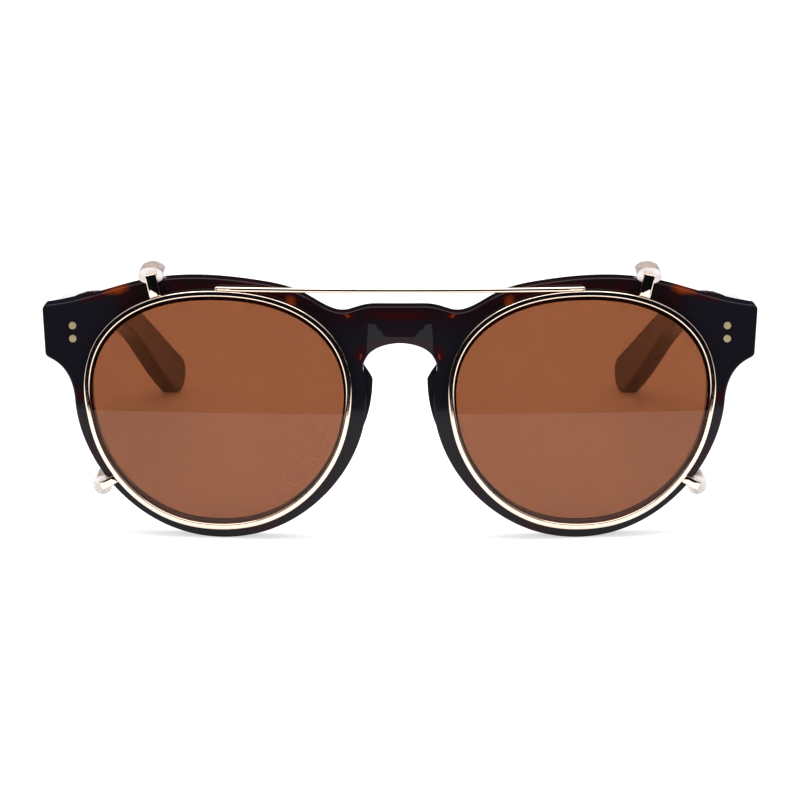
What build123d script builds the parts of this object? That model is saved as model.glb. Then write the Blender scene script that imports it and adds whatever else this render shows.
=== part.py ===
"""Panto spectacles in acetate, worn with a clip-on sun front in gold-coloured wire.

Axes: X across the face, Y from the front towards the ears, Z up. The spectacles stand open on a
table at Z = 0, on the two rims and the two temple tips. "Right" is the side of +X.
"""
from build123d import *
import os
from math import asin, copysign, cos, radians, sin, sqrt, tan

os.makedirs("parts", exist_ok=True)

# ---- Acetate front (mm) ----
LENS_WIDTH = 50.6          # eye opening, across
LENS_HEIGHT = 46.0         # eye opening, up
LENS_FULLNESS = 2.195     # 2 is an ellipse, more is squarer
LENS_FLARE = 0.115         # how much broader the top of the lens shape is than its bottom
BRIDGE_WIDTH = 23.2        # between the two eye openings
RIM_SIDE = 4.3             # acetate beside the eye opening
RIM_SHIFT = 0.4            # the acetate round a lens sits this much nearer to the nose
RIM_FOOT = 3.1             # acetate below the eye opening
RIM_FULLNESS = 2.06
BROW_HEIGHT = 4.5          # acetate above the eye opening, at its highest
BROW_FALL = 0.95           # its edge is this much lower at the upper claw
BROW_SHAPE = [             # share of half the lens width from its middle, drop from the highest place
    (-0.70, 3.45),
    (-0.34, 0.95),
    (0.11, 0.0),
    (0.62, 1.4),
    (0.92, 3.7),
]
BRIDGE_SHAPE = [           # from the middle of the bridge, drop from its top
    (5.2, 0.0),
    (8.2, 0.5),
    (11.0, 1.3),
]
FRONT_THICKNESS = 4.6
WRAP_RADIUS = 330.0        # the front bends round the face on this radius
KEYHOLE_WIDTH = 14.9
KEYHOLE_HEIGHT = 5.1       # from its widest place up to its top
BRIDGE_DEPTH = 7.55        # acetate above the keyhole
BRIDGE_DROP = 0.95         # top of the bridge below the top of the eye opening
END_REACH = 10.5           # from the eye opening out to the tip of the end piece
END_HEIGHT = 10.3
END_DROP = 2.2             # top of the end piece below the top of the eye opening
END_CORNER = 1.0
END_TAPER = 0.5            # the tip leans in by this much
END_FOOT_WIDTH = 1.05      # cut at the lower corner of the end piece, across and up
END_FOOT_DROP = 0.6
END_BLOCK_WIDTH = 9.6      # thickening behind the end piece, for the hinge
END_BLOCK_PROUD = 0.4      # how much thicker it is
SHOULDER_DROP = 1.7        # from the widest place of the keyhole down to its end
SHOULDER_INSET = 0.4       # the end is this much nearer to the middle

# ---- Lenses ----
DEMO_THICKNESS = 1.4
DEMO_SETBACK = 1.7         # from the front face of the acetate
DEMO_GROOVE = 0.5          # depth of the groove that holds the lens
LENS_FIT = 0.05            # room round a lens in its groove

# ---- Temples ----
TEMPLE_LENGTH = 87.0       # from the hinge joint to the ear bend
EAR_LENGTH = 52.0          # from the ear bend to the centre of the tip
TEMPLE_THICKNESS = 4.2
TEMPLE_HEIGHT = 10.3       # at the hinge
TEMPLE_WAIST = 6.4         # at the ear bend
TIP_RADIUS = 4.6
TEMPLE_SLOPE = 8.0         # degrees down towards the ear
EAR_BEND_RADIUS = 48.0
TOE_IN = 15.0              # how far the tip leans in
TOE_CURVE = 2.4            # 1 is a straight temple, more bends later
JOINT_GAP = 0.25           # between the end piece and the temple
TEMPLE_EDGE = 0.8
TEMPLE_INSET = 0.9         # outside of the temple, in from the end piece
WIRE_THICKNESS = 1.1
WIRE_HEIGHT = 2.0
WIRE_START = 12.0          # from the hinge joint

# ---- Hinges ----
BARREL_RADIUS = 1.5
KNUCKLE_HEIGHT = 1.3
KNUCKLE_GAP = 0.08
KNUCKLES = 5
SCREW_RADIUS = 0.7
SCREW_CLEARANCE = 0.05
SCREW_HEAD_RADIUS = 1.2
SCREW_HEAD_HEIGHT = 0.5
SCREW_SLOT = 0.3
LEAF_THICKNESS = 0.9
LEAF_SETBACK = 0.1         # of the temple leaf, from the end of the temple
FRONT_LEAF_WIDTH = 4.4
TEMPLE_LEAF_LENGTH = 8.0
BARREL_CLEARANCE = 0.2     # from the barrel to the temple leaf

# ---- Nose pads ----
PAD_HEIGHT = 20.0
PAD_THICKNESS = 2.6        # half of it, across the nose
PAD_DEPTH = 6.5            # behind the front
PAD_Z = 29.5
PAD_INSET = 2.5            # from the eye opening towards the nose
PAD_SPLAY = 9.0            # degrees, lower end further out
PAD_TURN = 20.0            # degrees, rear edge further out
PAD_TOP = 8.0              # its slanted top meets the middle this far below the keyhole's sides
PAD_SETBACK = 0.45         # from the front face of the acetate

# ---- Rivets ----
PIN_LENGTH = 1.6           # pins of the temple leaf
PIN_PLACES = (3.6, 6.4)    # from the hinge joint
RIVET_HEAD_RADIUS = 0.75
RIVET_HEAD_PROUD = 0.3
RIVET_SHANK_RADIUS = 0.45
RIVET_SPACING = 2.7
RIVET_INSET = 6.3          # from the tip of the end piece

# ---- Clip-on front ----
CLIP_GAP = 0.7             # between the acetate and the clip
CLIP_DEPTH = 1.3           # of the rim wire, front to back
CLIP_WIRE = 1.15           # width of the rim wire, seen from the front
CLIP_OVERLAP = 1.05        # rim wire centre outside the eye opening
CLIP_RISE = 0.63           # clip lens centre above the eye opening's centre
CLAW_SETBACK = 0.15        # of the claws and the bar, in front of the back of the rim wire
CLIP_LENS_THICKNESS = 0.8
CLIP_LENS_SETBACK = 0.3    # from the front of the wire
CLIP_GROOVE = 0.35
BAR_HEIGHT = 0.95
BAR_SINK = 0.1             # how far the bar is let into the tops of the rims
BAR_SPAN = 74.5
CLAW_THICKNESS = 0.8
UPPER_CLAW_WIDTH = 2.4
UPPER_CLAW_LEAN = 13.0     # degrees outward
UPPER_CLAW_AT = 67.5       # degrees round the lens, from the side of the ear
UPPER_HOOK_RISE = 1.7      # top of the upper hook above the acetate
LOWER_CLAW_WIDTH = 1.65
LOWER_CLAW_ANGLE = 30.0    # degrees below level
LOWER_CLAW_AT = -35.0
LOWER_HOOK_GAP = 1.1       # between the lower hook and the edge of the acetate
SLEEVE_CLEARANCE = 0.25    # between a sleeve and the acetate
SLEEVE_END = 0.6           # silicone past the end of a hook
UPPER_SLEEVE = (5.2, 3.4)  # across and up
LOWER_SLEEVE = (4.0, 4.0)
HOOK_PAST = 1.2            # a hook runs this far past the back of the acetate

ROUND = 0.5523             # handle length that makes a Bezier curve a quarter of an ellipse

# ---- Places that follow from the sizes above ----
lens_x = BRIDGE_WIDTH / 2 + LENS_WIDTH / 2
lens_z = RIM_FOOT + LENS_HEIGHT / 2
rim_x = lens_x - RIM_SHIFT
opening_top = RIM_FOOT + LENS_HEIGHT
bridge_z = opening_top - BRIDGE_DROP
keyhole_z = bridge_z - BRIDGE_DEPTH - KEYHOLE_HEIGHT
end_x = BRIDGE_WIDTH / 2 + LENS_WIDTH + END_REACH
end_top = opening_top - END_DROP
hinge_z = end_top - END_HEIGHT / 2
clip_z = lens_z + CLIP_RISE
clip_front = CLIP_GAP + CLIP_DEPTH


def sheet_y(x, forward=0.0):
    """Y of a curved sheet at x; the sheet lies a distance forward of the acetate's front face."""
    return WRAP_RADIUS - sqrt((WRAP_RADIUS + forward) ** 2 - x ** 2)


joint_y = sheet_y(end_x, -FRONT_THICKNESS) + END_BLOCK_PROUD
temple_x = end_x - TEMPLE_INSET - TEMPLE_THICKNESS / 2
temple_inner = temple_x - TEMPLE_THICKNESS / 2
temple_start = joint_y + JOINT_GAP
pivot_x = temple_inner - BARREL_RADIUS - BARREL_CLEARANCE - LEAF_THICKNESS / 2
pivot_y = joint_y + BARREL_RADIUS + BARREL_CLEARANCE
hinge_height = KNUCKLES * KNUCKLE_HEIGHT
clip_top = clip_z + LENS_HEIGHT / 2 + CLIP_OVERLAP + CLIP_WIRE / 2
bar_z = clip_top + BAR_HEIGHT / 2 - BAR_SINK
clip_lens_front = clip_front - CLIP_LENS_SETBACK
claw_front = CLIP_GAP + CLAW_SETBACK + CLAW_THICKNESS
hook_length = claw_front + FRONT_THICKNESS + HOOK_PAST


# ---- Helpers ----
def point(x, z):
    """A point of a front view outline."""
    return Vector(x, 0, z)


def lens_point(grow, fullness, angle, centre_z=lens_z, foot=0.0):
    """Point of the lens shape, grown outward, at an angle from the side of the ear."""
    turn = radians(angle)
    across = copysign(abs(cos(turn)) ** (2 / fullness), cos(turn))
    up = copysign(abs(sin(turn)) ** (2 / fullness), sin(turn))
    x = (LENS_WIDTH / 2 + grow) * across * (1 + LENS_FLARE * up)
    z = (LENS_HEIGHT / 2 + grow + foot) * up
    return point(lens_x + x, centre_z + z)


def lens_face(grow, centre_z=lens_z):
    """Face in the shape of the right lens, grown outward all round."""
    points = [lens_point(grow, LENS_FULLNESS, step * 15, centre_z) for step in range(24)]
    return make_face(Spline(*points, periodic=True))


def sheet(forward, back):
    """Curved sheet between two distances forward of the acetate's front face."""
    place = Location((0, WRAP_RADIUS, LENS_HEIGHT / 2))
    height = 3 * LENS_HEIGHT
    outside = Cylinder(WRAP_RADIUS + forward, height)
    inside = Cylinder(WRAP_RADIUS + back, height)
    return place * (outside - inside)


def push_back(face, start=-20.0, depth=60.0):
    """A front view face, pushed back along Y from a start."""
    return extrude(face.moved(Location((0, start, 0))), amount=depth, dir=(0, 1, 0))


def wrapped(face, forward, back):
    """Solid with a front view outline that lies in a curved sheet."""
    return push_back(face) & sheet(forward, back)


def strip_face(start, end, width):
    """Straight strip in the front view, from start to end."""
    along = (end - start).normalized()
    side = Vector(-along.Z, 0, along.X) * (width / 2)
    return make_face(Polyline(start - side, end - side, end + side, start + side, close=True))


def block(x, y, z):
    """Box between two values along each axis, each given as a pair."""
    size = (x[1] - x[0], y[1] - y[0], z[1] - z[0])
    place = Location(((x[0] + x[1]) / 2, (y[0] + y[1]) / 2, (z[0] + z[1]) / 2))
    return place * Box(*size)


def rod(x, z, radius, start, end):
    """Round bar along Y."""
    place = Location((x, (start + end) / 2, z), (90, 0, 0))
    return place * Cylinder(radius, end - start)


def post(x, y, radius, bottom, top):
    """Round bar along Z."""
    return Location((x, y, (bottom + top) / 2)) * Cylinder(radius, top - bottom)


def rim_edge_distance(start, along):
    """Distance from a point inside the right rim to the outer edge of its acetate."""
    inside, outside = 0.0, LENS_WIDTH
    while outside - inside > 0.001:
        middle = (inside + outside) / 2
        place = start + along * middle
        up = (place.Z - lens_z) / (LENS_HEIGHT / 2 + RIM_FOOT)
        across = (place.X - rim_x) / ((LENS_WIDTH / 2 + RIM_SIDE) * (1 + LENS_FLARE * up))
        if abs(across) ** RIM_FULLNESS + abs(up) ** RIM_FULLNESS < 1:
            inside = middle
        else:
            outside = middle
    return inside


# ---- Places on the claws ----
upper_foot = lens_point(CLIP_OVERLAP, LENS_FULLNESS, UPPER_CLAW_AT, clip_z)
upper_along = Vector(sin(radians(UPPER_CLAW_LEAN)), 0, cos(radians(UPPER_CLAW_LEAN)))
upper_edge_z = opening_top + BROW_HEIGHT - BROW_FALL
upper_head = upper_foot + upper_along * ((upper_edge_z + UPPER_HOOK_RISE - upper_foot.Z) / upper_along.Z)
lower_foot = lens_point(CLIP_OVERLAP, LENS_FULLNESS, LOWER_CLAW_AT, clip_z)
lower_along = Vector(cos(radians(LOWER_CLAW_ANGLE)), 0, -sin(radians(LOWER_CLAW_ANGLE)))
lower_head = lower_foot + lower_along * (
    rim_edge_distance(lower_foot, lower_along) + LOWER_HOOK_GAP + CLAW_THICKNESS)

# ---- Line of the temples, in the side view ----
slope = radians(TEMPLE_SLOPE)
hinge_point = Vector(0, temple_start, hinge_z)
temple_along = Vector(0, cos(slope), -sin(slope))
temple_up = Vector(0, sin(slope), cos(slope))
bend_point = hinge_point + temple_along * TEMPLE_LENGTH
fall = asin((bend_point.Z - TIP_RADIUS) / EAR_LENGTH)
ear_along = Vector(0, cos(fall), -sin(fall))
ear_up = Vector(0, sin(fall), cos(fall))
tip_point = bend_point + ear_along * EAR_LENGTH
shift_y = (clip_front - tip_point.Y - TIP_RADIUS) / 2


# ---- Acetate front ----
def half_outline():
    """Front view outline of the right half of the front, from the bridge's top to the keyhole's."""
    half = LENS_WIDTH / 2
    bridge = [point(x, bridge_z - drop) for x, drop in BRIDGE_SHAPE]
    brow = [point(lens_x + share * half, opening_top + BROW_HEIGHT - drop)
            for share, drop in BROW_SHAPE]
    end_corner = point(end_x, end_top)
    end_side = point(end_x - END_TAPER, end_top - END_HEIGHT)
    end_foot = end_side - point(END_FOOT_WIDTH, END_FOOT_DROP)
    rim = [rim_point(angle) for angle in range(4, -190, -16)]
    shoulder = point(KEYHOLE_WIDTH / 2 - SHOULDER_INSET, keyhole_z - SHOULDER_DROP)
    keyhole_side = point(KEYHOLE_WIDTH / 2, keyhole_z)
    keyhole_top = point(0, keyhole_z + KEYHOLE_HEIGHT)
    return [
        Line(point(0, bridge_z), bridge[0]),
        Spline(*bridge, *brow, end_corner),
        Line(end_corner, end_side),
        Line(end_side, end_foot),
        Spline(end_foot, rim[0], tangents=[Vector(-1, 0, -0.45), Vector(-0.1, 0, -1)]),
        Spline(*rim),
        Line(rim[-1], shoulder),
        Spline(shoulder, keyhole_side, tangents=[Vector(0.3, 0, 1), Vector(0, 0, 1)]),
        Bezier(keyhole_side, keyhole_side + point(0, KEYHOLE_HEIGHT * ROUND),
               keyhole_top + point(KEYHOLE_WIDTH / 2 * ROUND, 0), keyhole_top),
    ]


def rim_point(angle):
    """Point of the acetate's outer edge round the right lens."""
    return lens_point(RIM_SIDE, RIM_FULLNESS, angle, foot=RIM_FOOT - RIM_SIDE) - point(RIM_SHIFT, 0)


def front_face():
    """Front view face of the whole front, without its eye openings."""
    right = half_outline()
    left = [mirror(edge, about=Plane.YZ) for edge in right]
    face = make_face(right + left)
    corners = [corner for corner in face.vertices() if abs(corner.X) > end_x - END_CORNER]
    return fillet(corners, END_CORNER)


front_view = front_face()


def both(part):
    """A part and its mirror image on the other side of the face."""
    return [part, mirror(part, about=Plane.YZ)]


def demo_lens():
    """Clear lens of the right eye."""
    face = lens_face(DEMO_GROOVE - LENS_FIT)
    return wrapped(face, -DEMO_SETBACK, -DEMO_SETBACK - DEMO_THICKNESS)


def acetate_front():
    """Bent plate with eye openings, lens grooves, a block behind each end piece and holes."""
    outline = push_back(front_view)
    plate = outline & sheet(0, -FRONT_THICKNESS)
    zone = block((end_x - END_BLOCK_WIDTH, end_x), (sheet_y(end_x), joint_y),
                 (end_top - 2 * END_HEIGHT, end_top))
    for end_zone in both(zone):
        plate += outline & end_zone
    groove_face = lens_face(DEMO_GROOVE)
    groove_front = LENS_FIT - DEMO_SETBACK
    groove = wrapped(groove_face, groove_front, groove_front - DEMO_THICKNESS - 2 * LENS_FIT)
    cuts = [push_back(lens_face(0)), groove, hinge_plate(), *rivets()]
    for cut in cuts:
        for piece in both(cut):
            plate -= piece
    return plate


# ---- Hinges: the front leaf and the screw stay with the front, the other leaf turns ----
def knuckles(first):
    """Every second knuckle of the barrel, as rings with their gaps."""
    rings = []
    for number in range(first, KNUCKLES, 2):
        bottom = hinge_z - hinge_height / 2 + number * KNUCKLE_HEIGHT
        rings.append((bottom + KNUCKLE_GAP / 2, bottom + KNUCKLE_HEIGHT - KNUCKLE_GAP / 2))
    return rings


def screw_bore():
    """Hole through the barrel."""
    radius = SCREW_RADIUS + SCREW_CLEARANCE
    return post(pivot_x, pivot_y, radius, hinge_z - hinge_height, hinge_z + hinge_height)


def hinge_plate():
    """Plate of the front leaf, let into the end block."""
    width = (temple_inner - FRONT_LEAF_WIDTH, temple_inner)
    height = (hinge_z - hinge_height / 2, hinge_z + hinge_height / 2)
    return block(width, (joint_y - LEAF_THICKNESS, joint_y), height)


def hinge_front_leaf():
    """Front leaf: plate with the outer knuckles."""
    leaf = hinge_plate()
    for bottom, top in knuckles(0):
        leaf += post(pivot_x, pivot_y, BARREL_RADIUS, bottom, top)
        web = (pivot_x - BARREL_RADIUS, pivot_x + BARREL_RADIUS)
        leaf += block(web, (joint_y - LEAF_THICKNESS / 2, pivot_y), (bottom, top))
    return leaf - screw_bore()


def temple_leaf_plate():
    """Plate of the temple leaf, half let into the inside of the temple."""
    width = (temple_inner - LEAF_THICKNESS / 2, temple_inner + LEAF_THICKNESS / 2)
    length = (temple_start + LEAF_SETBACK, temple_start + TEMPLE_LEAF_LENGTH)
    height = (hinge_z - hinge_height / 2, hinge_z + hinge_height / 2)
    return block(width, length, height)


def hinge_temple_leaf():
    """Temple leaf: plate with the inner knuckles."""
    leaf = temple_leaf_plate()
    for bottom, top in knuckles(1):
        leaf += post(pivot_x, pivot_y, BARREL_RADIUS, bottom, top)
        web = (pivot_x, temple_inner)
        leaf += block(web, (temple_start + LEAF_SETBACK, pivot_y + BARREL_RADIUS), (bottom, top))
    return leaf - screw_bore()


def hinge_screw():
    """Hinge screw: shank through the barrel, head on its top."""
    bottom = hinge_z - hinge_height / 2
    top = hinge_z + hinge_height / 2 - KNUCKLE_GAP / 2
    shank = post(pivot_x, pivot_y, SCREW_RADIUS, bottom, top)
    head = post(pivot_x, pivot_y, SCREW_HEAD_RADIUS, top, top + SCREW_HEAD_HEIGHT)
    slot = block((pivot_x - SCREW_HEAD_RADIUS, pivot_x + SCREW_HEAD_RADIUS),
                 (pivot_y - SCREW_SLOT / 2, pivot_y + SCREW_SLOT / 2),
                 (top + SCREW_HEAD_HEIGHT / 2, top + SCREW_HEAD_HEIGHT))
    return shank + head - slot


def rivets():
    """Two rivets of the right end piece, from the front face to the hinge plate."""
    x = end_x - RIVET_INSET
    face_y = sheet_y(x)
    pair = []
    for side in (-1, 1):
        z = hinge_z + side * RIVET_SPACING / 2
        shank = rod(x, z, RIVET_SHANK_RADIUS, face_y - RIVET_HEAD_PROUD, joint_y - LEAF_THICKNESS)
        head = rod(x, z, RIVET_HEAD_RADIUS, face_y - RIVET_HEAD_PROUD, face_y + RIVET_HEAD_PROUD)
        pair.append(shank + head)
    return pair


# ---- Nose pads ----
def nose_pad():
    """Acetate pad behind the nasal edge of the right rim."""
    x = BRIDGE_WIDTH / 2 - PAD_INSET
    place = Location((x, FRONT_THICKNESS, PAD_Z), (0, -PAD_SPLAY, -PAD_TURN))
    body = place * scale(Sphere(1), by=(PAD_THICKNESS, PAD_DEPTH, PAD_HEIGHT / 2))
    top = keyhole_z - PAD_TOP
    below = make_face(Polyline(point(0, 0), point(0, top), point(lens_x, top + lens_x),
                               point(lens_x, 0), close=True))
    body &= push_back(below)
    front = wrapped(front_view, 0, -FRONT_THICKNESS)
    return body - sheet(PAD_DEPTH, -PAD_SETBACK) - front - push_back(lens_face(0))


# ---- Temples ----
def temple_side(front_half, bend_half, tip_radius, setback=0.0):
    """Side view face of a temple, or of its core wire, from its half heights along the way."""
    reach = EAR_BEND_RADIUS * tan((fall - slope) / 2)
    before = bend_point - temple_along * reach
    after = bend_point + ear_along * reach
    start = hinge_point + temple_along * (setback / temple_along.Y)
    upright = Vector(0, 0, front_half)
    top = Spline(start + upright, before + temple_up * bend_half, after + ear_up * bend_half,
                 tip_point + ear_up * tip_radius, tangents=[temple_along, ear_along])
    end = ThreePointArc(tip_point + ear_up * tip_radius, tip_point + ear_along * tip_radius,
                        tip_point - ear_up * tip_radius)
    bottom = Spline(tip_point - ear_up * tip_radius, after - ear_up * bend_half,
                    before - temple_up * bend_half, start - upright,
                    tangents=[-1 * ear_along, -1 * temple_along])
    return make_face([top, end, bottom, Line(start - upright, start + upright)])


def temple_plan(thickness):
    """Top view face of the right temple, which bends in towards its tip."""
    reach = TEMPLE_LENGTH + EAR_LENGTH + TIP_RADIUS
    tip_y = temple_start + TEMPLE_LENGTH + EAR_LENGTH - TIP_RADIUS
    middle = []
    for step in range(8):
        share = step / 7
        y = temple_start + share * reach
        lean = TOE_IN * ((y - temple_start) / (tip_y - temple_start)) ** TOE_CURVE
        middle.append(Vector(temple_x - lean, y, 0))
    side = Vector(thickness / 2, 0, 0)
    outer = Spline(*[place + side for place in middle])
    inner = Spline(*[place - side for place in middle])
    return make_face([outer, inner, Line(middle[0] + side, middle[0] - side),
                      Line(middle[-1] + side, middle[-1] - side)])


def temple_blank(thickness, front_half, bend_half, tip_radius, setback=0.0):
    """Solid where the side view and the top view of a temple meet."""
    side = temple_side(front_half, bend_half, tip_radius, setback)
    plan = temple_plan(thickness)
    return extrude(side, amount=2 * end_x, dir=(1, 0, 0)) & extrude(plan, amount=end_x, dir=(0, 0, 1))


def temple_rivets():
    """Two pins that hold the leaf in the right temple."""
    pins = []
    x = temple_inner + LEAF_THICKNESS / 2 + PIN_LENGTH / 2
    for distance in PIN_PLACES:
        place = Location((x, temple_start + distance, hinge_z), (0, 90, 0))
        pins.append(place * Cylinder(RIVET_SHANK_RADIUS, PIN_LENGTH))
    return pins


def core_wire():
    """Stiffening wire inside the right temple."""
    half = WIRE_HEIGHT / 2
    return temple_blank(WIRE_THICKNESS, half, half, half, WIRE_START)


def temple():
    """Right temple, with its seats for the leaf, the pins and the core wire."""
    blank = temple_blank(TEMPLE_THICKNESS, TEMPLE_HEIGHT / 2, TEMPLE_WAIST / 2, TIP_RADIUS)
    blank = fillet([edge for edge in blank.edges() if edge.length > TEMPLE_EDGE], TEMPLE_EDGE)
    blank = blank - temple_leaf_plate() - core_wire()
    for pin in temple_rivets():
        blank -= pin
    return blank


# ---- Clip-on front ----
def clip_rim():
    """Wire rim round the right clip lens, with the groove for the lens."""
    outside = lens_face(CLIP_OVERLAP + CLIP_WIRE / 2, clip_z)
    inside = lens_face(CLIP_OVERLAP - CLIP_WIRE / 2, clip_z)
    ring = wrapped(outside, clip_front, CLIP_GAP) - push_back(inside)
    groove_face = lens_face(CLIP_OVERLAP - CLIP_WIRE / 2 + CLIP_GROOVE, clip_z)
    groove_front = clip_lens_front + LENS_FIT
    return ring - wrapped(groove_face, groove_front, groove_front - CLIP_LENS_THICKNESS - 2 * LENS_FIT)


def clip_lens():
    """Brown lens of the right side of the clip."""
    face = lens_face(CLIP_OVERLAP - CLIP_WIRE / 2 + CLIP_GROOVE - LENS_FIT, clip_z)
    return wrapped(face, clip_lens_front, clip_lens_front - CLIP_LENS_THICKNESS)


def rim_blocks():
    """Everything inside the outer edges of both wire rims."""
    return both(push_back(lens_face(CLIP_OVERLAP + CLIP_WIRE / 2, clip_z)))


def brow_bar():
    """Bar with round ends, soldered to the tops of both rims."""
    face = make_face(SlotOverall(BAR_SPAN, BAR_HEIGHT).edges())
    upright = Location((0, 0, bar_z), (90, 0, 0))
    bar = wrapped(face.moved(upright), clip_front, CLIP_GAP + CLAW_SETBACK)
    for rim in rim_blocks():
        bar -= rim
    return bar


def claw(foot, head, along, width):
    """Strip along the front from the rim, then a hook straight back past the acetate."""
    start = foot - along * CLIP_WIRE
    strip = wrapped(strip_face(start, head, width), claw_front, claw_front - CLAW_THICKNESS)
    hook_face = strip_face(head - along * CLAW_THICKNESS, head, width)
    hook_start = sheet_y(head.X, claw_front - CLAW_THICKNESS / 2)
    return strip + push_back(hook_face, hook_start, hook_length) - rim_blocks()[0]


def upper_claw():
    """Right upper claw, over the brow."""
    return claw(upper_foot, upper_head, upper_along, UPPER_CLAW_WIDTH)


def lower_claw():
    """Right lower claw, round the outer edge of the rim."""
    return claw(lower_foot, lower_head, lower_along, LOWER_CLAW_WIDTH)


def sleeve(head, along, hooked, size):
    """Clear sleeve round a hook, with a lip behind the acetate."""
    middle = head - along * (CLAW_THICKNESS / 2)
    start = sheet_y(middle.X, claw_front - CLAW_THICKNESS)
    outline = make_face(Ellipse(size[0] / 2, size[1] / 2).edges())
    body = push_back(outline.moved(Location(middle, (90, 0, 0))), start, hook_length + SLEEVE_END)
    return body - hooked - sleeve_room(along)


def upper_sleeve():
    """Sleeve of the right upper hook."""
    return sleeve(upper_head, upper_along, upper_claw(), UPPER_SLEEVE)


def lower_sleeve():
    """Sleeve of the right lower hook."""
    return sleeve(lower_head, lower_along, lower_claw(), LOWER_SLEEVE)


def sleeve_room(along):
    """Space that the acetate takes from a sleeve, with a clearance along the claw."""
    back = -FRONT_THICKNESS - SLEEVE_CLEARANCE
    beside = front_view.moved(Location(along * SLEEVE_CLEARANCE))
    return wrapped(beside, SLEEVE_CLEARANCE, back) + wrapped(front_view, SLEEVE_CLEARANCE, back)


# ---- All pieces ----
PAIRS = {
    "demo_lens": demo_lens,
    "nose_pad": nose_pad,
    "hinge_front_leaf": hinge_front_leaf,
    "hinge_temple_leaf": hinge_temple_leaf,
    "hinge_screw": hinge_screw,
    "end_rivets": rivets,
    "temple": temple,
    "temple_rivets": temple_rivets,
    "core_wire": core_wire,
    "clip_rim": clip_rim,
    "clip_lens": clip_lens,
    "upper_claw": upper_claw,
    "lower_claw": lower_claw,
    "upper_sleeve": upper_sleeve,
    "lower_sleeve": lower_sleeve,
}
centred = Location((0, shift_y, 0))


def write(name, pieces):
    """Write the solids of one node, with the origin in the middle of the footprint."""
    export_step(Compound([centred * piece for piece in pieces]), f"parts/{name}.step")


write("acetate_front", [acetate_front()])
write("brow_bar", [brow_bar()])
for name, make in PAIRS.items():
    made = make()
    right = made if isinstance(made, list) else [made]
    write(f"{name}_right", right)
    write(f"{name}_left", [mirror(piece, about=Plane.YZ) for piece in right])
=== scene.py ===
from math import copysign, cos, hypot, pi, radians, sin, sqrt

import bmesh
import bpy
import numpy as np
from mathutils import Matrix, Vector
from mathutils.geometry import delaunay_2d_cdt


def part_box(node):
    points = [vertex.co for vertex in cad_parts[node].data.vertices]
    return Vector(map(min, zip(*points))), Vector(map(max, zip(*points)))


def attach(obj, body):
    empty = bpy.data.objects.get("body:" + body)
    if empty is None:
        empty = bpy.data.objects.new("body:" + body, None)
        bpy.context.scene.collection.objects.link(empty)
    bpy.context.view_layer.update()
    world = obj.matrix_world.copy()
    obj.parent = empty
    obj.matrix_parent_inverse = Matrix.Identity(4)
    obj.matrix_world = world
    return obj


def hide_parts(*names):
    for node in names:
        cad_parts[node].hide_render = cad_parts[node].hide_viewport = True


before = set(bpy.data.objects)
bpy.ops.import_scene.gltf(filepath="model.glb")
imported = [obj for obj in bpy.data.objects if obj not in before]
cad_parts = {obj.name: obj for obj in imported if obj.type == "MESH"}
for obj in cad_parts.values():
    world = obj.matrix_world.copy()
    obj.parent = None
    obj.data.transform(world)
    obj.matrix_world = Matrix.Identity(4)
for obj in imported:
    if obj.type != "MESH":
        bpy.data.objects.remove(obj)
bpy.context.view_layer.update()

# All lengths are in metres. X is across the face, Y runs from the front to the ears, Z is up.
MM = 0.001

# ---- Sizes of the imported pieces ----
WRAP_RADIUS = 330 * MM                      # bend of the acetate's front face and of the clip
FRONT_THICKNESS = 4.6 * MM
CLIP_BACK = 0.7 * MM                        # the clip's wires lie between these distances
CLIP_FRONT = 2.0 * MM                       # forward of the acetate
BAR_BACK = 0.85 * MM
END_BLOCK_WIDTH = 9.6 * MM                  # thick part behind each end piece, for the hinge
FRONT_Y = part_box("acetate_front")[0].y      # foremost place of the acetate
END_BLOCK_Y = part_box("acetate_front")[1].y
END_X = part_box("acetate_front")[1].x

# ---- Finish of the edges ----
POINT_SPACING = 0.5 * MM                    # along the outline of a plate
ACETATE_BEVEL = 0.35 * MM
ACETATE_GRID = 1.3 * MM                     # between points on the faces of the acetate
WIRE_BEVEL = 0.28 * MM
BAR_BEVEL = 0.4 * MM
BEVEL_STEPS = 4
FACE_MARGIN = 0.06 * MM                     # flat strip that keeps a bevel's shading off the face

BROKEN_EDGES = {                            # bevels on the sharp edges of small pieces
    "upper_claw": 0.3 * MM,
    "lower_claw": 0.2 * MM,
    "end_rivets": 0.1 * MM,
    "hinge_screw": 0.08 * MM,
}
SLEEVE_MESH = 0.13 * MM                     # size of the even mesh that a sleeve is rounded on
SLEEVE_SOFTNESS = 6                         # rounds of smoothing
SHARP_EDGE = radians(40)                    # edges that turn more than this are bevelled
OUTLINE_CORNER = radians(32)                # an outline that turns more than this has a corner
JOINED = 0.001 * MM                         # points nearer than this are one
BLOCK_INSIDE = 0.02 * MM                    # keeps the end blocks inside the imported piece

# ---- Facets cut above the keyhole ----
FACET_OUTER = 6.7 * MM                      # from the middle to the upright edge
FACET_INNER = 2.9 * MM                      # from the middle to the low end of the slanted edge
FACET_LOW = 42.0 * MM                       # height of the slanted edge at its low end
FACET_TOP = 44.8 * MM                       # and at its high end
FACET_RISE = 1.4                            # of the slanted edge
FACET_TILT = 0.13                           # how fast the facet runs back below that edge
FACET_EDGE = 0.4 * MM                       # width of the step at the upright edge
FACET_SPACING = 0.4 * MM                    # between the points along its edges


def sheet_y(x, forward=0.0):
    """Y at x of a curved sheet that lies forward of the acetate's front face."""
    return FRONT_Y + WRAP_RADIUS - sqrt((WRAP_RADIUS + forward) ** 2 - x * x)


def forward_of(place):
    """How far a place lies forward of the acetate's front face."""
    return hypot(place.x, place.y - FRONT_Y - WRAP_RADIUS) - WRAP_RADIUS


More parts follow.
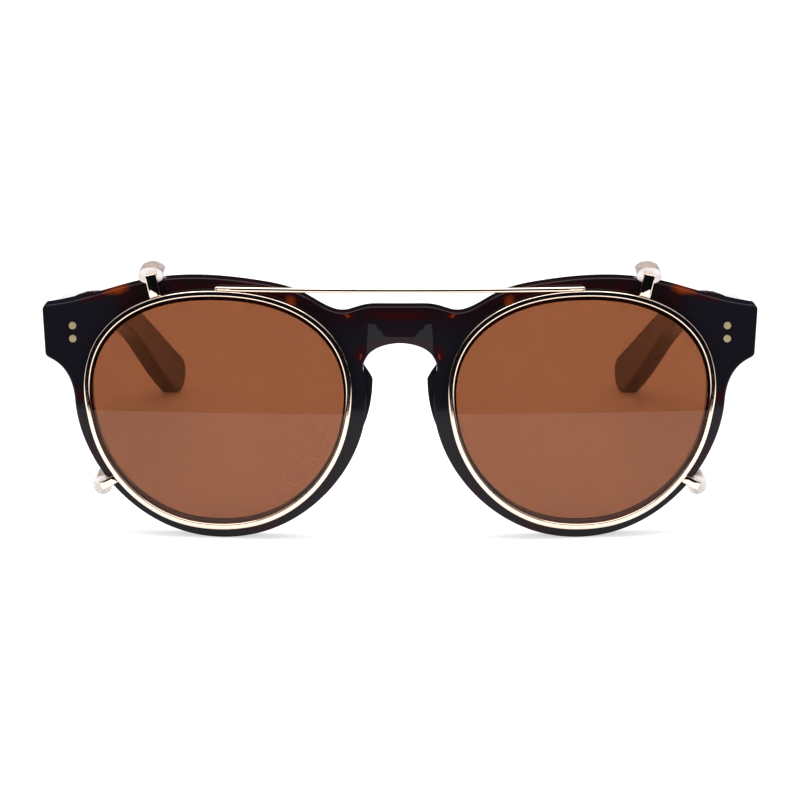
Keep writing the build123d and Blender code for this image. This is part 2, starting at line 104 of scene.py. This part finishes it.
# ---- Plates with bevelled edges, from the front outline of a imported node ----
def front_loops(node, forward):
    """Closed loops of (x, z) round the front face of a node, longest first, plate on their left."""
    mesh = bmesh.new()
    mesh.from_mesh(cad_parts[node].data)
    bmesh.ops.remove_doubles(mesh, verts=mesh.verts, dist=0.002 * MM)
    front = {v for v in mesh.verts if abs(forward_of(v.co) - forward) < 0.02 * MM}
    faces = [face for face in mesh.faces if front.issuperset(face.verts)]
    following = {}
    for corner in (corner for face in faces for corner in face.loops):
        if sum(face in faces for face in corner.edge.link_faces) == 1:
            following[corner.vert] = corner.link_loop_next.vert
    loops = []
    while following:
        start, place = following.popitem()
        loop = [start]
        while place is not start:
            loop.append(place)
            place = following.pop(place)
        loops.append([Vector((place.co.x, place.co.z)) for place in loop])
    mesh.free()
    return sorted(loops, key=loop_length, reverse=True)


def loop_length(loop):
    """Length round a closed loop."""
    return sum((place - loop[i - 1]).length for i, place in enumerate(loop))


def refined(loop):
    """The loop with points added on smooth curves through its own; its corners stay."""
    fine = []
    for i, start in enumerate(loop):
        before, end, after = loop[i - 1], loop[(i + 1) % len(loop)], loop[(i + 2) % len(loop)]
        along = end - start
        leave = loop_slope(before, start, end, along) - along
        arrive = loop_slope(start, end, after, along) - along
        steps = max(1, round(along.length / POINT_SPACING))
        for t in (step / steps for step in range(steps)):
            fine.append(start + along * t + (leave * (1 - t) - arrive * t) * t * (1 - t))
    return fine


def loop_slope(before, place, after, along):
    """Tangent of a smooth loop at a place, as long as along; at a corner it is along itself."""
    turn = (place - before).angle(after - place)
    if turn > OUTLINE_CORNER:
        return along
    return (after - before).normalized() * along.length


def inset(loop, amount):
    """The loop moved into the plate by an amount."""
    moved = []
    for i, place in enumerate(loop):
        first = (place - loop[i - 1]).normalized()
        second = (loop[(i + 1) % len(loop)] - place).normalized()
        middle = (first + second).normalized()
        moved.append(place + Vector((-middle.y, middle.x)) * amount / max(0.6, middle.dot(first)))
    return moved


def inside(places, loops):
    """For each place, whether it lies inside an odd number of loops."""
    odd = np.zeros(len(places), bool)
    x, z = np.array(places).T
    for loop in loops:
        for i, end in enumerate(loop):
            start = loop[i - 1]
            if start.y != end.y:
                share = (z - start.y) / (end.y - start.y)
                crosses = (start.y > z) != (end.y > z)
                odd ^= crosses & (x < start.x + share * (end.x - start.x))
    return odd


def face_points(loops, spacing):
    """Points of a square grid that lie inside a plate, clear of its edges."""
    edge = np.array([place for loop in loops for place in loop])
    low, high = edge.min(0), edge.max(0)
    across = np.arange(low[0], high[0], spacing)
    up = np.arange(low[1], high[1], spacing)
    grid = np.array([(x, z) for x in across for z in up])
    grid = grid[inside(grid, loops)]
    clear = [np.hypot(*(edge - place).T).min() > 0.6 * spacing for place in grid]
    return [Vector(place) for place in grid[clear]]


def face_triangles(loops, extra):
    """Points and triangles that fill a plate's face; extra points lie between the loops."""
    places, edges = [], []
    for loop in loops:
        first = len(places)
        places += loop
        edges += [(first + i, first + (i + 1) % len(loop)) for i in range(len(loop))]
    places, _, triangles, *_ = delaunay_2d_cdt(places + extra, edges, [], 1, 1e-7)
    middles = [(places[a] + places[b] + places[c]) / 3 for a, b, c in triangles]
    kept = inside(middles, loops)
    return places, [triangle for triangle, keep in zip(triangles, kept) if keep]


def bevel_profile(front, back, bevel):
    """(inset, forward) from the edge of a plate's front face round to the edge of its back."""
    turns = [step * pi / 2 / BEVEL_STEPS for step in range(BEVEL_STEPS + 1)]
    over = [(bevel * (1 - sin(turn)), front - bevel * (1 - cos(turn))) for turn in turns]
    under = [(amount, front + back - forward) for amount, forward in reversed(over)]
    return [(bevel + FACE_MARGIN, front), *over, *under, (bevel + FACE_MARGIN, back)]


def plate(name, loops, profile, depth=lambda x, z, forward: sheet_y(x, forward), extra=()):
    """Closed plate whose edges follow a profile, bent by depth, which gives Y."""
    mesh = bmesh.new()

    def vertex(place, forward):
        return mesh.verts.new((place.x, depth(place.x, place.y, forward), place.y))

    for loop in loops:
        rings = [[vertex(place, forward) for place in inset(loop, amount)]
                 for amount, forward in profile]
        for ring, following in zip(rings, rings[1:]):
            for i in range(len(loop)):
                mesh.faces.new((ring[i - 1], following[i - 1], following[i], ring[i]))
    for amount, forward in (profile[0], profile[-1]):
        edges = [inset(loop, amount) for loop in loops]
        places, triangles = face_triangles(edges, list(extra))
        corners = [vertex(place, forward) for place in places]
        for triangle in triangles:
            mesh.faces.new([corners[i] for i in triangle])
    bmesh.ops.remove_doubles(mesh, verts=mesh.verts, dist=JOINED)
    loose = [place for place in mesh.verts if not place.link_faces]
    bmesh.ops.delete(mesh, geom=loose, context="VERTS")
    bmesh.ops.recalc_face_normals(mesh, faces=mesh.faces)
    return new_object(name, mesh)


def new_object(name, mesh):
    """An object with smooth shading, from a bmesh that is then freed."""
    data = bpy.data.meshes.new(name)
    mesh.to_mesh(data)
    mesh.free()
    data.shade_smooth()
    made = bpy.data.objects.new(name, data)
    bpy.context.scene.collection.objects.link(made)
    return made


def smooth_share(value, low, high):
    """0 below low, 1 above high, and a smooth rise between them."""
    share = min(1.0, max(0.0, (value - low) / (high - low)))
    return share * share * (3 - 2 * share)


# ---- Acetate front ----
def facet_line(x):
    """Height of the upper edge of the facets above the keyhole."""
    return min(FACET_TOP, FACET_LOW + max(0.0, abs(x) - FACET_INNER) * FACET_RISE)


def facet_depth(x, z):
    """How far the facets above the keyhole run back from the front face."""
    side = smooth_share(FACET_OUTER - abs(x), 0, FACET_EDGE)
    return max(0.0, facet_line(x) - z) * FACET_TILT * side


def facet_points(loops):
    """Points along both sides of the facets' edges, which keep those edges crisp."""
    places = []
    for x in np.arange(-FACET_OUTER, FACET_OUTER, FACET_SPACING):
        places += [(x, facet_line(x)), (x, facet_line(x) + 0.1 * MM)]
    for z in np.arange(FACET_LOW - 4 * MM, FACET_TOP, FACET_SPACING):
        places += [(turn * edge, z) for turn in (-1, 1) for edge in (FACET_OUTER, FACET_OUTER - FACET_EDGE)]
    edge = np.array([place for loop in loops for place in loop])
    kept = np.array(places)[inside(places, loops)]
    return [Vector(place) for place in kept if np.hypot(*(edge - place).T).min() > 2 * ACETATE_BEVEL]


def acetate_y(x, z, forward):
    """Y of the acetate's surface, with its facets and its end blocks."""
    back_share = -forward / FRONT_THICKNESS
    y = sheet_y(x, forward) + facet_depth(x, z) * (1 - back_share)
    block_start = END_X - END_BLOCK_WIDTH
    block = END_BLOCK_Y - BLOCK_INSIDE - sheet_y(x, -FRONT_THICKNESS)
    return y + block * smooth_share(abs(x), block_start - MM, block_start) * back_share


def acetate_front():
    """Polished acetate front with rounded edges."""
    loops = [refined(loop) for loop in front_loops("acetate_front", 0)[:3]]
    extra = face_points(loops, ACETATE_GRID) + facet_points(loops)
    profile = bevel_profile(0, -FRONT_THICKNESS, ACETATE_BEVEL)
    return plate("polished_front", loops, profile, acetate_y, extra)


# ---- Clip ----
def clip_rim(side):
    """Rim wire with bevelled edges."""
    loops = [refined(loop) for loop in front_loops(f"clip_rim_{side}", CLIP_FRONT)]
    return plate(f"bevelled_rim_{side}", loops, bevel_profile(CLIP_FRONT, CLIP_BACK, WIRE_BEVEL))


def brow_bar():
    """Brow bar with rounded edges."""
    loops = [refined(loop) for loop in front_loops("brow_bar", CLIP_FRONT)]
    return plate("bevelled_bar", loops, bevel_profile(CLIP_FRONT, BAR_BACK, BAR_BEVEL))


# ---- Materials ----
def add_node(tree, kind, inputs=None, **settings):
    """A shader node; an input is given as a value or as the socket that feeds it."""
    made = tree.nodes.new(kind)
    for name, value in settings.items():
        setattr(made, name, value)
    for name, value in (inputs or {}).items():
        if isinstance(value, bpy.types.NodeSocket):
            tree.links.new(value, made.inputs[name])
        else:
            made.inputs[name].default_value = value
    return made


def new_material(name, **values):
    """A material with one Principled shader, whose sockets are set from the values."""
    material = bpy.data.materials.new(name)
    material.use_nodes = True
    shader = material.node_tree.nodes["Principled BSDF"]
    for socket, value in values.items():
        shader.inputs[socket.replace("_", " ")].default_value = value
    return material, material.node_tree, shader


def object_place(tree):
    """Place on the object, in metres."""
    return add_node(tree, "ShaderNodeTexCoord").outputs["Object"]


def noise(tree, place, scale, detail=2.0, distortion=0.0):
    """Soft noise from 0 to 1."""
    inputs = {"Vector": place, "Scale": scale, "Detail": detail, "Distortion": distortion}
    return add_node(tree, "ShaderNodeTexNoise", inputs).outputs["Fac"]


def mapped(tree, value, low, high, to_low=0.0, to_high=1.0):
    """A value carried from one range to another, and kept inside it."""
    inputs = {"Value": value, "From Min": low, "From Max": high, "To Min": to_low, "To Max": to_high}
    return add_node(tree, "ShaderNodeMapRange", inputs).outputs["Result"]


def bumped(tree, shader, height, distance):
    """Give a shader fine relief."""
    inputs = {"Height": height, "Strength": 1.0, "Distance": distance}
    bump = add_node(tree, "ShaderNodeBump", inputs)
    tree.links.new(bump.outputs["Normal"], shader.inputs["Normal"])


def colour_mix(tree, share, first, second):
    """A mix of two colours, each given as a value or a socket."""
    made = add_node(tree, "ShaderNodeMix", {0: share, 6: first, 7: second}, data_type="RGBA")
    return made.outputs[2]


def lets_lamps_through(material, tint):
    """Make a see-through material pass the light of lamps, tinted."""
    tree = material.node_tree
    output = tree.nodes["Material Output"]
    shader = tree.nodes["Principled BSDF"]
    shadow_ray = add_node(tree, "ShaderNodeLightPath").outputs["Is Shadow Ray"]
    clear = add_node(tree, "ShaderNodeBsdfTransparent", {"Color": tint})
    either = add_node(tree, "ShaderNodeMixShader",
                      {0: shadow_ray, 1: shader.outputs[0], 2: clear.outputs[0]})
    tree.links.new(either.outputs[0], output.inputs["Surface"])


# Places in mm are given across and up; both sides of the front are alike. A patch has its
# middle, its reach along and across the grain, and the angle of the grain.
AMBER_PATCHES = (
    ((57.3, 50.6), (2.5, 0.75), -14),
    ((22.0, 49.0), (1.0, 1.2), 0),
    ((26.8, 48.1), (2.4, 0.5), 18),
    ((10.6, 46.3), (0.5, 0.28), 25),
    ((7.9, 38.0), (0.25, 0.65), 10),
    ((45.5, 5.0), (5.0, 0.8), 22),
)
RED_PATCHES = (
    ((33.0, 52.0), (7.5, 0.9), -3),
    ((26.0, 50.8), (5.5, 1.0), 12),
    ((1.6, 46.3), (4.6, 0.9), 3),
    ((10.4, 46.2), (1.6, 0.8), 25),
    ((61.5, 49.0), (3.5, 0.7), -14),
    ((8.2, 38.4), (1.0, 1.9), 12),
    ((65.0, 28.4), (1.6, 1.6), 0),
)
PATCH_DEPTH = 16 * MM
ACETATE_DARK = (0.0115, 0.0105, 0.0165, 1)
ACETATE_BROW = (0.0135, 0.0058, 0.0078, 1)  # the brow is a warmer black than the rest
BROW_FROM, BROW_FULL = 42 * MM, 47 * MM     # height
BROW_END, BROW_SIDE = 60 * MM, 55 * MM      # from the middle
ACETATE_RED = (0.036, 0.0045, 0.0055, 1)
ACETATE_AMBER = (0.33, 0.044, 0.004, 1)
TEMPLE_PAINTED_LIGHTER = (0.044, 0.043, 0.054, 1)      # the temples are painted a shade lighter, as painted light for the light they catch from above, and are glossier
TEMPLE_GLOSS = 0.8
FRONT_GLOSS = 0.17
TEMPLE_FROM = 25 * MM                       # behind the front


def both_sides(tree, place):
    """The place with X always positive, so that a pattern is the same left and right."""
    parts = add_node(tree, "ShaderNodeSeparateXYZ", {"Vector": place}).outputs
    across = add_node(tree, "ShaderNodeMath", {0: parts["X"]}, operation="ABSOLUTE").outputs[0]
    inputs = {"X": across, "Y": parts["Y"], "Z": parts["Z"]}
    return add_node(tree, "ShaderNodeCombineXYZ", inputs).outputs[0]


def patch(tree, place, ragged, middle, reach, grain):
    """1 in the middle of a patch of colour and 0 outside its ragged edge."""
    inputs = {"Vector": place, "Location": (middle[0] * MM, FRONT_Y, middle[1] * MM),
              "Rotation": (0, radians(-grain), 0), "Scale": (reach[0] * MM, PATCH_DEPTH, reach[1] * MM)}
    inward = add_node(tree, "ShaderNodeMapping", inputs, vector_type="TEXTURE").outputs[0]
    away = add_node(tree, "ShaderNodeVectorMath", {0: inward}, operation="LENGTH")
    edge = add_node(tree, "ShaderNodeMath", {0: away.outputs["Value"], 1: ragged}, operation="ADD")
    return mapped(tree, edge.outputs[0], 1.9, 0.6)


def patches(tree, place, ragged, share, places):
    """The largest of a share and of all the patches."""
    for spot in places:
        inputs = {0: share, 1: patch(tree, place, ragged, *spot)}
        share = add_node(tree, "ShaderNodeMath", inputs, operation="MAXIMUM").outputs[0]
    return share


def havana_acetate():
    """Dark havana: near black with clouds of deep red and a few amber patches, polished."""
    material, tree, shader = new_material("havana_acetate", IOR=1.49)
    place = both_sides(tree, object_place(tree))
    parts = add_node(tree, "ShaderNodeSeparateXYZ", {"Vector": place}).outputs
    temple = mapped(tree, parts["Y"], FRONT_Y + TEMPLE_FROM, FRONT_Y + 2 * TEMPLE_FROM)
    near_middle = mapped(tree, parts["X"], BROW_END, BROW_SIDE)
    brow = mapped(tree, parts["Z"], BROW_FROM, BROW_FULL, 0, near_middle)
    gloss = mapped(tree, temple, 0, 1, FRONT_GLOSS, TEMPLE_GLOSS)
    tree.links.new(gloss, shader.inputs["Specular IOR Level"])
    clouds = noise(tree, place, 75, detail=3, distortion=0.8)
    ragged = noise(tree, place, 420, detail=3)
    red = patches(tree, place, ragged, mapped(tree, clouds, 0.56, 0.76), RED_PATCHES)
    amber = patches(tree, place, ragged, mapped(tree, clouds, 0.72, 0.84), AMBER_PATCHES)
    front_dark = colour_mix(tree, brow, ACETATE_DARK, ACETATE_BROW)
    # the temples take a lighter colour here: painted light for the light they catch from above
    dark = colour_mix(tree, temple, front_dark, TEMPLE_PAINTED_LIGHTER)
    ground = colour_mix(tree, red, dark, ACETATE_RED)
    tree.links.new(colour_mix(tree, amber, ground, ACETATE_AMBER), shader.inputs["Base Color"])
    wear = mapped(tree, noise(tree, place, 1800, detail=4), 0.3, 0.8, 0.03, 0.1)
    tree.links.new(wear, shader.inputs["Roughness"])
    bumped(tree, shader, noise(tree, place, 260), 0.003 * MM)
    return material


def metal(name, colour, low, high, grain):
    """Polished plated wire with fine drawing marks."""
    material, tree, shader = new_material(name, Metallic=1.0, Base_Color=colour)
    place = object_place(tree)
    marks = noise(tree, place, grain, detail=4)
    tree.links.new(mapped(tree, marks, 0.3, 0.7, low, high), shader.inputs["Roughness"])
    tint = colour_mix(tree, mapped(tree, noise(tree, place, 160), 0.3, 0.7),
                      colour, [share * 0.94 for share in colour[:3]] + [1])
    tree.links.new(tint, shader.inputs["Base Color"])
    bumped(tree, shader, marks, 0.001 * MM)
    return material


def glass(name, tint, roughness, ior, deeper, clarity=1.0):
    """Clear, tinted or milky see-through material; its tint deepens a little in soft clouds."""
    material, tree, shader = new_material(name, Transmission_Weight=clarity, IOR=ior)
    place = object_place(tree)
    clouds = mapped(tree, noise(tree, place, 45), 0.3, 0.7)
    shade = [share * deeper for share in tint[:3]] + [1]
    tree.links.new(colour_mix(tree, clouds, tint, shade), shader.inputs["Base Color"])
    haze = mapped(tree, noise(tree, place, 900, detail=4), 0.4, 0.8, roughness, 1.2 * roughness)
    tree.links.new(haze, shader.inputs["Roughness"])
    lets_lamps_through(material, tint)
    return material


def make_materials():
    """All materials of the object, by the record's slot."""
    return {
        "havana_acetate": havana_acetate(),
        "gold_wire": metal("gold_wire", (0.98, 0.81, 0.68, 1), 0.04, 0.09, 2600),
        "gold_rivet": metal("gold_rivet", (0.95, 0.77, 0.46, 1), 0.4, 0.5, 2600),
        "hinge_steel": metal("hinge_steel", (0.62, 0.61, 0.60, 1), 0.22, 0.36, 1500),
        "brown_lens": glass("brown_lens", (0.229, 0.0775, 0.034, 1), 0.0, 1.32, 0.97),
        "clear_lens": glass("clear_lens", (0.98, 0.98, 0.98, 1), 0.0, 1.49, 0.99),
        "clear_silicone": glass("clear_silicone", (1.0, 0.965, 0.955, 1), 0.2, 1.41, 0.97, clarity=0.7),
    }


# ---- The object ----
materials = make_materials()


def finish_piece(piece, slot, body, *nodes):
    """Give a new piece its material and its body, and hide the nodes that it stands for."""
    piece.data.materials.append(materials[slot])
    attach(piece, body)
    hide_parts(*nodes)


def broken_edges(node, width):
    """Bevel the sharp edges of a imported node."""
    weld = node.modifiers.new("joined", "WELD")
    weld.merge_threshold = JOINED
    bevel = node.modifiers.new("broken edges", "BEVEL")
    bevel.width = width
    bevel.segments = 2
    bevel.limit_method = "ANGLE"
    bevel.angle_limit = SHARP_EDGE
    bevel.harden_normals = True


def softened(node):
    """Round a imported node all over, as moulded silicone is."""
    remesh = node.modifiers.new("even mesh", "REMESH")
    remesh.mode = "VOXEL"
    remesh.voxel_size = SLEEVE_MESH
    remesh.use_smooth_shade = True
    smooth = node.modifiers.new("soft", "SMOOTH")
    smooth.factor = 0.5
    smooth.iterations = SLEEVE_SOFTNESS


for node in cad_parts.values():
    for slot in node.material_slots:
        slot.material = materials[slot.material.name]

for side in ("left", "right"):
    for name, width in BROKEN_EDGES.items():
        broken_edges(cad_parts[f"{name}_{side}"], width)
    for name in ("upper_sleeve", "lower_sleeve"):
        softened(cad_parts[f"{name}_{side}"])

finish_piece(acetate_front(), "havana_acetate", "front", "acetate_front")
finish_piece(brow_bar(), "gold_wire", "clip", "brow_bar")
for side in ("left", "right"):
    finish_piece(clip_rim(side), "gold_wire", "clip", f"clip_rim_{side}")


# ---- Studio ----
def stage_plane(name, size, place, turn, material):
    """A flat part of the studio."""
    bpy.ops.mesh.primitive_plane_add(size=1, location=place, rotation=turn)
    made = bpy.context.object
    made.name = name
    made.scale = (size[0], size[1], 1)
    made.data.materials.append(material)
    return made


def any_of(tree, *sockets):
    """1 where any of the sockets is 1."""
    total = sockets[0]
    for socket in sockets[1:]:
        total = add_node(tree, "ShaderNodeMath", {0: total, 1: socket}, operation="MAXIMUM").outputs[0]
    return total


def seen_directly(tree):
    """1 for rays that carry what the camera sees, straight or by way of gloss and glass."""
    path = add_node(tree, "ShaderNodeLightPath").outputs
    return any_of(tree, path["Is Camera Ray"], path["Is Glossy Ray"], path["Is Transmission Ray"])


FLOOR_GLOW = 0.6             # added to the lit floor, so that it is white where no shadow falls


def white_floor():
    """White paper that takes soft shadows."""
    material, tree, shader = new_material("white_paper", Base_Color=(0.8, 0.8, 0.8, 1), Roughness=0.9)
    shader.inputs["Emission Color"].default_value = (1, 1, 1, 1)
    glow = add_node(tree, "ShaderNodeMath", {0: seen_directly(tree), 1: FLOOR_GLOW},
                    operation="MULTIPLY")
    tree.links.new(glow.outputs[0], shader.inputs["Emission Strength"])
    return material


def flag_cloth():
    """Black cloth of the cards that stand round the object."""
    material, tree, shader = new_material("black_cloth", Base_Color=(0.006, 0.006, 0.008, 1),
                                          Roughness=1.0)
    shader.inputs["Specular IOR Level"].default_value = 0
    return material


def bent_card(name, y, bend, reach, height, cloth):
    """Upright black card bent round the object, seen only as a reflection; reach in degrees."""
    mesh = bmesh.new()
    columns = []
    for turn in range(-reach, reach + 1, 5):
        across = bend * sin(radians(turn))
        along = y - copysign(bend, y) * (1 - cos(radians(turn)))
        columns.append([mesh.verts.new((across, along, z)) for z in (0, height)])
    for left, right in zip(columns, columns[1:]):
        mesh.faces.new((left[0], right[0], right[1], left[1]))
    card = new_object(name, mesh)
    card.data.materials.append(cloth)
    card.visible_camera = False
    card.visible_diffuse = False
    card.visible_shadow = False
    card.visible_transmission = False


def softbox(name, place, target, size, power):
    """Rectangular lamp that points at a target."""
    data = bpy.data.lights.new(name, "AREA")
    data.shape = "RECTANGLE"
    data.size, data.size_y = size
    data.energy = power
    lamp = bpy.data.objects.new(name, data)
    lamp.location = place
    lamp.rotation_euler = (Vector(target) - Vector(place)).to_track_quat("-Z", "Y").to_euler()
    bpy.context.scene.collection.objects.link(lamp)


ROOM_LIGHT = 0.55            # that falls on the object; what the camera sees of the room has 1


def room():
    """White world for what the camera sees, softer for the light that falls on the object."""
    world = bpy.data.worlds.new("room")
    bpy.context.scene.world = world
    world.use_nodes = True
    tree = world.node_tree
    strength = mapped(tree, seen_directly(tree), 0, 1, ROOM_LIGHT, 1.0)
    tree.links.new(strength, tree.nodes["Background"].inputs["Strength"])
    tree.nodes["Background"].inputs["Color"].default_value = (1, 1, 1, 1)


CARD_AHEAD = 123 * MM         # of the acetate front

stage_plane("floor", (8, 8), (0, 0, 0), (0, 0, 0), white_floor())
cloth = flag_cloth()
bent_card("front_card", FRONT_Y - CARD_AHEAD, bend=0.36, reach=45, height=0.16, cloth=cloth)
bent_card("back_card", 0.9, bend=1.4, reach=40, height=0.5, cloth=cloth)
softbox("overhead", (0, -0.1, 1.1), (0, 0, 0), (1.2, 1.0), 9)
room()

# ---- Camera ----
CAMERA_AHEAD = 0.700          # of the acetate front
CAMERA_HEIGHT = 0.179
CAMERA_PITCH = 12.09          # degrees below level
CAMERA_LENS = 159.66          # mm, on a 36 mm sensor

camera_data = bpy.data.cameras.new("camera")
camera_data.lens = CAMERA_LENS
camera_data.sensor_width = 36
camera_data.clip_start = 0.01
camera_data.clip_end = 50
camera = bpy.data.objects.new("camera", camera_data)
camera.location = (0, FRONT_Y - CAMERA_AHEAD, CAMERA_HEIGHT)
camera.rotation_euler = (radians(90 - CAMERA_PITCH), 0, 0)
bpy.context.scene.collection.objects.link(camera)
bpy.context.scene.camera = camera
bpy.context.scene.view_settings.view_transform = "Standard"
